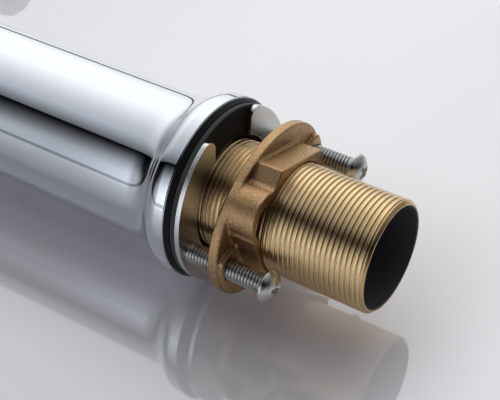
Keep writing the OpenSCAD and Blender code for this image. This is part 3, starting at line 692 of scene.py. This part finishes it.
def nut_field(p):
    """Distance to the cast nut, with its screws along X."""
    x, y, z = p[..., 0], p[..., 1], p[..., 2]
    # Oval plate, turned a little from the line of the screws
    turn = math.radians(-8)
    long, short = 26.7, 20.6
    u = x * math.cos(turn) + y * math.sin(turn)
    v = y * math.cos(turn) - x * math.sin(turn)
    k = np.hypot(u / long, v / short)
    oval = k * (k - 1) / np.maximum(np.hypot(u / long ** 2, v / short ** 2), 1e-6)
    plate_half = (PLATE_TOP - PLATE_LOW) / 2
    plate = trim(oval, np.abs(z - (PLATE_LOW + PLATE_TOP) / 2) - plate_half, 0.5)
    # Pads under the screws' holes
    inset, pad_half = 0.7, 5.4
    pad = trim(trim(oval + inset, np.abs(y) - pad_half, 1.0), np.abs(z - PLATE_LOW) - plate_half, 0.45)
    # Hexagon, with a lobe on one corner
    flat_out = 17.5
    flats = [np.abs(x * math.cos(a) + y * math.sin(a)) - flat_out for a in np.radians((0, 60, 120))]
    hexagon = trim(trim(flats[0], flats[1], 0.35), flats[2], 0.35)
    outline = join(hexagon, disc(x, y, out=15.2, turn=50, radius=7.5), 1.2)
    block = trim(outline, np.abs(z - (HEX_LOW + HEX_TOP) / 2) - (HEX_TOP - HEX_LOW) / 2, 0.35)
    solid = join(join(plate, pad, 0.5), block, 0.9)
    # Hollow of the lobe, which stops just inside the plate
    pocket_top = -15.0
    pocket = np.maximum(disc(x, y, out=14.9, turn=46.4, radius=5.4), z - pocket_top)
    solid = trim(solid, -pocket, 0.35)
    # Bore, chamfered at both ends by a cone of 45 degrees, whose distance is its height times cone
    radius = np.hypot(x, y)
    mouth = THREAD_BORE_R + 0.55
    cone = 0.7071
    solid = trim(solid, THREAD_BORE_R - radius, 0.2)
    solid = np.maximum(solid, (mouth - radius + (HEX_LOW - z)) * cone)
    solid = np.maximum(solid, (mouth - radius + (z - PLATE_TOP)) * cone)
    screw_hole_r = 3.0
    for side in (-SCREW_OUT, SCREW_OUT):
        solid = trim(solid, screw_hole_r - np.hypot(x - side, y), 0.2)
    return solid


def make_lock_nut():
    """The cast nut, turned to where the photograph shows its screws."""
    points, faces, normals = skin(nut_field, (-27, -24, -23.1), (27, 24, -12.1), 0.25)
    add_piece("cast_lock_nut", move(points, SCREW_TURN), faces, "nut", "cast_brass", ["lock_nut"],
              move(normals, SCREW_TURN))


def head_field(p):
    """Distance to a pan head with a cross recess; its bearing face is z = 0 and it points down."""
    x, y, z = p[..., 0], p[..., 1], p[..., 2]
    radius = np.hypot(x, y)
    rim_h = 0.8
    crown_h = SCREW_HEAD_H - rim_h
    crown_r = (SCREW_HEAD_R ** 2 + crown_h ** 2) / (2 * crown_h)
    up = z + SCREW_HEAD_H
    crown = np.sqrt(x * x + y * y + (up - crown_r) ** 2) - crown_r
    solid = trim(trim(radius - SCREW_HEAD_R, crown, 0.5), z, 0.2)
    neck_r, neck_h = 2.7, 0.6
    neck = np.maximum(radius - neck_r, np.abs(z) - neck_h)
    solid = join(solid, neck, 0.3)
    # The recess widens from its floor to its mouth
    recess = 1.9
    wide = np.clip((recess - up) / recess, 0, 1)
    arm = 0.35 + 0.28 * wide
    reach = 0.9 + 1.65 * wide
    cross = np.minimum(np.maximum(np.abs(x) - arm, np.abs(y) - reach),
                       np.maximum(np.abs(y) - arm, np.abs(x) - reach))
    cross = np.maximum(join(cross, radius - 0.7 - 0.6 * wide, 0.35), up - recess)
    # The walls of the cross lean, so across them its distance is shorter by this factor
    lean = 0.8
    return trim(solid, -cross * lean, 0.12)


def make_screw(name, body, node, turn, tip_z, cross_turn):
    """Clamp screw with a rolled thread, its head at the lower end and its tip at the height tip_z."""
    pitch = 1.0
    crest_r = 2.95
    # A thin bore runs from the tip to the head
    bore_r = 0.6
    length = 25.0
    thread_low = 0.4 - length
    profile = thread_stations(depth=0.60, pitch=pitch, crest_w=0.18, flank_w=0.33)
    points, faces = threaded_rod(crest_r, profile, pitch, thread_low, 0.0, 0.05, 0.6,
                                 [(bore_r, 0.0), (bore_r, thread_low)], 64)
    points, faces = merged(points, faces)
    half = SCREW_HEAD_R + 0.05
    head, head_faces, _ = skin(head_field, (-half, -half, -SCREW_HEAD_H - 0.05), (half, half, 0.65), 0.12)
    head = move(head, cross_turn, (0, 0, -length))
    faces = faces + (head_faces + len(points)).tolist()
    points = np.concatenate([points, head])
    place = math.radians(turn)
    points = move(points, 0, (SCREW_OUT * math.cos(place), SCREW_OUT * math.sin(place), tip_z))
    add_piece(name, points, faces, body, "zinc_steel", [node])


def make_spout():
    """Bent spout from its spigot to the outlet, outside and inside as one skin of rings."""
    angle = np.linspace(0, 2 * math.pi, 128, endpoint=False)
    axis_z = 250.0
    bend = 24.0
    # Distances along the tube's axis: from the column's axis to the bend, its end and the outlet
    elbow = 101.0
    down = elbow + bend * math.pi / 2
    end = down + 13.0
    outer, water = 13.5, 11.3
    socket, socket_depth = 12.05, 9.5
    spigot, spigot_bore, spigot_end = 11.0, 8.0, 15.25
    groove_r, groove_in, groove_out = 9.25, 16.85, 18.65
    bore_step = 25.2
    lip_r = 0.6

    def ring(distance, radius):
        """A ring across the tube, at a distance along its axis."""
        if distance <= elbow:
            centre, up = np.array((0, -distance, axis_z)), np.array((0, 0, 1.0))
        elif distance <= down:
            a = (distance - elbow) / bend
            centre = np.array((0, -elbow - bend * math.sin(a), axis_z - bend + bend * math.cos(a)))
            up = np.array((0, -math.sin(a), math.cos(a)))
        else:
            centre = np.array((0, -elbow - bend, axis_z - bend - (distance - down)))
            up = np.array((0, -1.0, 0))
        return centre + radius * (np.outer(np.cos(angle), (1, 0, 0)) + np.outer(np.sin(angle), up))

    def seat(radius):
        """The ring where the tube meets the column."""
        around = ring(25, radius)
        around[:, 1] = -np.sqrt((COLUMN_R + 0.03) ** 2 - around[:, 0] ** 2)
        return around

    run = list(np.linspace(27, elbow, 24)) + list(np.linspace(elbow, down, 34))[1:]
    run += list(np.linspace(down, end - lip_r, 8))[1:]
    lip = [(end - lip_r + lip_r * math.sin(a), outer - lip_r * (1 - math.cos(a)))
           for a in np.linspace(0, math.pi / 2, 6)][1:]
    # Spigot with the groove of its O-ring, outside of the tube, and back through its inside
    groove = [(groove_in, spigot), (groove_in, groove_r), (groove_out, groove_r), (groove_out, spigot),
              (21.0, spigot)]
    rings = [ring(d, r) for d, r in [(spigot_end, spigot)] + groove]
    rings += [seat(spigot), seat(outer)]
    rings += [ring(d, outer) for d in run]
    rings += [ring(d, r) for d, r in lip]
    rings += [ring(end, socket + 0.15), ring(end - 0.15, socket)]
    rings += [ring(end - socket_depth, socket), ring(end - socket_depth, water)]
    rings += [ring(d, water) for d in run[::-1] if d < end - socket_depth - 0.5]
    rings += [ring(bore_step, water), ring(bore_step, spigot_bore), ring(spigot_end, spigot_bore)]
    points = np.concatenate(rings)
    faces = outward(points, ring_faces(len(rings), len(angle)))
    add_piece("bent_spout", points, faces, "column", "chrome", ["spout"])


def make_dome():
    """Ball-shaped cover over the cartridge."""
    outer, inner = 19.3, 18.0
    mouth = 12.6
    bore = 16.45
    rim_z = 301.5
    # The hollow starts this far above the pivot
    ledge = 5.0
    top = math.degrees(math.acos(mouth / outer))
    low = math.degrees(math.asin((rim_z - PIVOT_Z) / outer))
    corners = [(bore, COLUMN_TOP, 0.15), (COLUMN_R, COLUMN_TOP, 0.25), (COLUMN_R, rim_z, 0.5)]
    corners += arc((0, PIVOT_Z), outer, low, top - 1.2, 30)
    corners += [(mouth, PIVOT_Z + outer * math.sin(math.radians(top)) - 0.2, 0.15)]
    inner_top = math.degrees(math.acos(mouth / inner))
    inner_low = math.degrees(math.asin(ledge / inner))
    corners += arc((0, PIVOT_Z), inner, inner_top, inner_low, 20)
    corners += [(bore, PIVOT_Z + ledge, 0)]
    turned_piece("dome_cover_chrome", corners, "column", "chrome", "dome_cover", 4)


def handle_field(p):
    """Distance to the handle, upright, with its pivot at the origin and its lever to -Y."""
    x, y, z = p[..., 0], p[..., 1], p[..., 2]
    radius = np.sqrt(x * x + y * y + z * z)
    outer, inner = 22.35, 19.85
    # The lever and the boss end inside the cap's wall, at this radius
    wall = inner + 0.75
    rim_z = 8.8
    cap = trim(trim(radius - outer, inner - radius, 0.6), rim_z - z, 0.5)
    # Lever, which rises and tapers from its root to its round tip
    root_y, root_z = 11.2, 14.9
    length = 96.0
    tip_r, wider = 7.0, 3.5
    root_half_t, thinner = 4.5, 2.25
    rise = math.radians(20)
    along = np.clip((-y - root_y) / (length - root_y), -0.3, 1.0)
    half_w = tip_r + wider * (1 - along)
    half_t = root_half_t - thinner * along
    middle = root_z + (-y - root_y) * math.tan(rise)
    plan = np.hypot(x, np.maximum(-y - (length - tip_r), 0)) - half_w
    lever = trim(plan, (np.abs(z - middle) - half_t) * math.cos(rise), 2.1)
    lever = np.maximum(lever, wall - radius)
    front = 8.0
    lever = np.maximum(lever, y + front)
    solid = join(cap, lever, 3.5)
    # Below this height the lever's fillet stays out of the cap's hollow
    hollow_z = 12
    solid = np.maximum(solid, np.where(z < hollow_z, inner - radius, -50))
    # Boss inside the cap, with the stem's square hole
    boss_r, boss_low = 8.5, 14.2
    boss = np.maximum(trim(np.hypot(x, y) - boss_r, boss_low - z, 0.4), radius - wall)
    solid = join(solid, boss, 0.8)
    square_half, square_top = 4.1, 19.3
    square = np.maximum(np.maximum(np.abs(x) - square_half, np.abs(y) - square_half), z - square_top)
    solid = trim(solid, -square, 0.2)
    # Holes of the grub screw and of the plug over it
    hole_z, screw_r = 17.2, 2.55
    plug_r, plug_y = 3.05, 8.7
    across = np.hypot(x, z - hole_z)
    solid = trim(solid, -np.maximum(across - screw_r, -y), 0.15)
    return trim(solid, -np.maximum(across - plug_r, plug_y - y), 0.2)


def make_handle():
    """Handle with its lever, tipped forward to its place at rest."""
    points, faces, normals = skin(handle_field, (-22.5, -96.2, 8.7), (22.5, 22.5, 50.0), 0.5)
    lean = math.radians(LEAN)
    tilt = np.array([[1, 0, 0], [0, math.cos(lean), -math.sin(lean)], [0, math.sin(lean), math.cos(lean)]])
    points = points @ tilt.T + np.array((0, 0, PIVOT_Z))
    add_piece("lever_handle", points, faces, "lever", "chrome", ["handle"], normals @ tilt.T)


def dress_nodes():
    """Gives the CAD solids that still show their finish, and breaks their sharp edges."""
    finishes = {
        "block_brass": ["valve_block", "retaining_nut"],
        "chrome": ["aerator_shell"],
        "black_rubber": ["spout_o_ring", "aerator_washer", "port_seals"],
        "zinc_steel": ["grub_screw", "stem", "stem_pin"],
        "white_plastic": ["cartridge_base", "cartridge_housing", "aerator_insert"],
        "black_plastic": ["disc_carrier", "turret"],
        "ceramic": ["fixed_disc", "moving_disc"],
        "red_plastic": ["indicator_plug"],
    }
    for finish, nodes in finishes.items():
        for node in nodes:
            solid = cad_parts[node]
            for place in solid.material_slots:
                place.material = FINISH[finish]
            edge = solid.modifiers.new("broken edges", "BEVEL")
            edge.width = 0.2 * MM
            edge.segments = 2
            edge.limit_method = "ANGLE"
            edge.angle_limit = math.radians(35)
            edge.harden_normals = False


def sheet_paint(paint):
    """Pale glossy sheet that is seen from its front only and fades out at its rim."""
    _, y, z = paint.split(paint.place())
    cloud = paint.noise(3.0, 2.0)
    speck = paint.rise(paint.noise(700.0, 2.0, 0.5), 0.72, 0.80)
    clean = paint.blend(cloud, colour(0.79, 0.79, 0.80), colour(0.82, 0.82, 0.83))
    # A veil that only looks and reflections see, paler away from the shade under the mixer; where it is
    # held back there, it is a painted shadow
    camera, glossy, through = paint.seen_by()
    seen = paint.lowest(camera + glossy + through, 1.0)
    # Painted shadow: the veil is taken away where the mixer's shadow falls on the sheet
    painted_shadow = paint.rise(y, -0.075, 0.0) * (1.0 - 0.3 * paint.rise(y, 0.035, 0.065))
    painted_shadow = painted_shadow * paint.rise(z, -0.09, -0.045)
    pale = seen * 0.235 * (1.0 - painted_shadow) * (1.0 - 0.25 * paint.rise(z, 0.05, 0.15))
    open_veil = paint.blend(1.0, pale, colour(0.995, 1.0, 1.012), "MULTIPLY")
    shade_veil = paint.blend(seen, colour(0, 0, 0), colour(0.038, 0.036, 0.042))
    body = paint.node("ShaderNodeBsdfPrincipled", None, {
        "Base Color": paint.blend(speck * 0.3, clean, colour(0.45, 0.45, 0.46)),
        "Roughness": 0.03 + 0.03 * cloud, "IOR": 2.2,
        "Emission Color": paint.blend(1.0, open_veil, shade_veil, "ADD"), "Emission Strength": 1.0})
    # Past this distance from the mixer's foot, and from behind, the sheet is clear
    away = paint.math("SQRT", (y + 0.05) * (y + 0.05) + (z - 0.04) * (z - 0.04))
    back = paint.node("ShaderNodeNewGeometry", output="Backfacing")
    gone = paint.highest(back, paint.rise(away, 0.32, 0.60))
    clear = paint.node("ShaderNodeBsdfTransparent")
    paint.surface(paint.node("ShaderNodeMixShader", None, {0: gone, 1: body, 2: clear}))


def make_sheet():
    """The sheet that the mixer lies on, as a stage."""
    mesh = bpy.data.meshes.new("pale_sheet")
    corners = [(-1.1, -1.0), (1.0, -1.0), (1.0, 1.1), (-1.1, 1.1)]
    # The foot's edge rests on the sheet, and the column leans by half a degree
    points = [(0.02598 + 0.0036 * y + 0.0096 * z, y, z) for y, z in corners]
    mesh.from_pydata(points, [], [(0, 3, 2, 1)])
    mesh.materials.append(finish_named("pale_sheet", sheet_paint))
    sheet = bpy.data.objects.new("pale_sheet", mesh)
    bpy.context.scene.collection.objects.link(sheet)


def make_light():
    """The studio as painted by direction: a broad soft light, a low lamp and a dark gap between them."""
    world = bpy.data.worlds.new("studio")
    world.use_nodes = True
    bpy.context.scene.world = world
    paint = Paint(world.node_tree)
    x, y, z = paint.split(paint.node("ShaderNodeTexCoord", output="Generated"))
    # A ray's height above the worktop's plane, and its turn from +X through +Y, in degrees
    height = paint.math("ARCSINE", z) * DEGREES
    azimuth = paint.math("ARCTAN2", y, x) * DEGREES
    turned = azimuth + 360.0 * paint.math("LESS_THAN", azimuth, 0.0)
    # The soft light fades with the angle from its middle, and towards the ceiling
    toward = x * -0.513 + y * -0.612 + z * 0.602
    off = paint.math("ARCCOSINE", paint.lowest(toward, 0.99999)) * DEGREES
    soft = paint.lowest(0.60 + 0.96 * (1.0 - paint.rise(off, 0.0, 63.0)), 1.43)
    fall = 0.33 + 0.30 * paint.rise(turned, 165.0, 210.0)
    soft = soft * (1.0 - fall * paint.rise(height, 42.0, 80.0))
    # The low lamp stands by the sheet
    lamp = 1.9 * paint.rise(height, 0.0, 14.0) * (1.0 - paint.rise(height, 22.0, 37.0))
    rounded = height + 10.0 * paint.rise(turned, 94.0, 124.0)
    lamp = lamp + 0.55 * (1.0 - paint.rise(rounded, 40.0, 64.0)) + 0.02
    lamp = lamp * (1.0 - paint.rise(turned, 96.0, 140.0))
    # The gap: it deepens from the lamp, ends in a sharp edge, and the soft light grows beyond
    edge = turned - 12.0 * (1.0 - paint.rise(height, 18.0, 32.0))
    beyond = paint.rise(edge, 139.0, 140.6)
    near_gap = beyond * soft * (0.25 + 0.75 * paint.rise(edge, 136.0, 163.0)) + (1.0 - beyond) * lamp
    side = paint.rise(turned, 50.0, 85.0) * (1.0 - paint.rise(edge, 163.0, 170.0))
    level = near_gap * side + soft * (1.0 - side)
    # The room darkens below, behind the lens, and in a line where the sheet ends
    lit = paint.rise(turned, 190.0, 215.0)
    level = level * (0.5 + 0.5 * paint.rise(height, 2.0 - 22.0 * lit, 34.0 - 24.0 * lit))
    level = level * (0.10 + 0.90 * paint.rise(height, -72.0, -38.0))
    lens = paint.math("ARCCOSINE", x * -0.632 + y * 0.632 + z * -0.448) * DEGREES
    level = level * (0.05 + 0.95 * paint.rise(lens, 12.0, 44.0))
    line = paint.rise(x, 0.0, 0.02) * (1.0 - paint.rise(x, 0.06, 0.09))
    level = level * (1.0 - line * (0.5 + 0.4 * paint.math("LESS_THAN", y, 0.0)))
    level = paint.highest(level, 0.42 * paint.rise(height, 77.0, 87.0))
    # The backdrop is pale where it is looked at, and where metal mirrors it past the sheet
    camera, glossy, through = paint.seen_by()
    backdrop = paint.lowest(camera + through + glossy * paint.rise(x, 0.1, 0.2), 1.0)
    level = level + backdrop * (0.80 - level)
    tint = paint.blend(side, colour(0.99, 0.995, 1.01), colour(0.965, 1.0, 1.085))
    shine = paint.blend(1.0, level, tint, "MULTIPLY")
    sky = paint.node("ShaderNodeBackground", None, {"Color": shine, "Strength": 1.0})
    paint.node("ShaderNodeOutputWorld", None, {"Surface": sky})


def make_camera():
    """The photograph's point of view: below and behind the foot, on the side away from the sheet."""
    lens = bpy.data.cameras.new("camera")
    lens.sensor_width = 36.0
    lens.lens = 81.674
    lens.clip_start = 0.01
    lens.clip_end = 50.0
    camera = bpy.data.objects.new("camera", lens)
    bpy.context.scene.collection.objects.link(camera)
    right = (0.02512, -0.56155, -0.82706)
    up = (-0.77452, -0.53401, 0.33905)
    back = (-0.63205, 0.63205, -0.44834)
    place = (-0.19973, 0.19969, -0.15014)
    camera.matrix_world = Matrix([list(row) for row in zip(right, up, back, place)] + [[0, 0, 0, 1]])
    bpy.context.scene.camera = camera


make_camera()
make_light()
make_sheet()
make_column()
make_gasket()
make_rubber_washer()
make_horseshoe()
make_shank()
make_lock_nut()
make_screw("clamp_screw_a", "screw_near", "clamp_screw_near", SCREW_TURN, -3.2, 20)
make_screw("clamp_screw_b", "screw_far", "clamp_screw_far", SCREW_TURN + 180, -4.6, 65)
make_spout()
make_dome()
make_handle()
dress_nodes()

bpy.context.scene.view_settings.view_transform = "Standard"
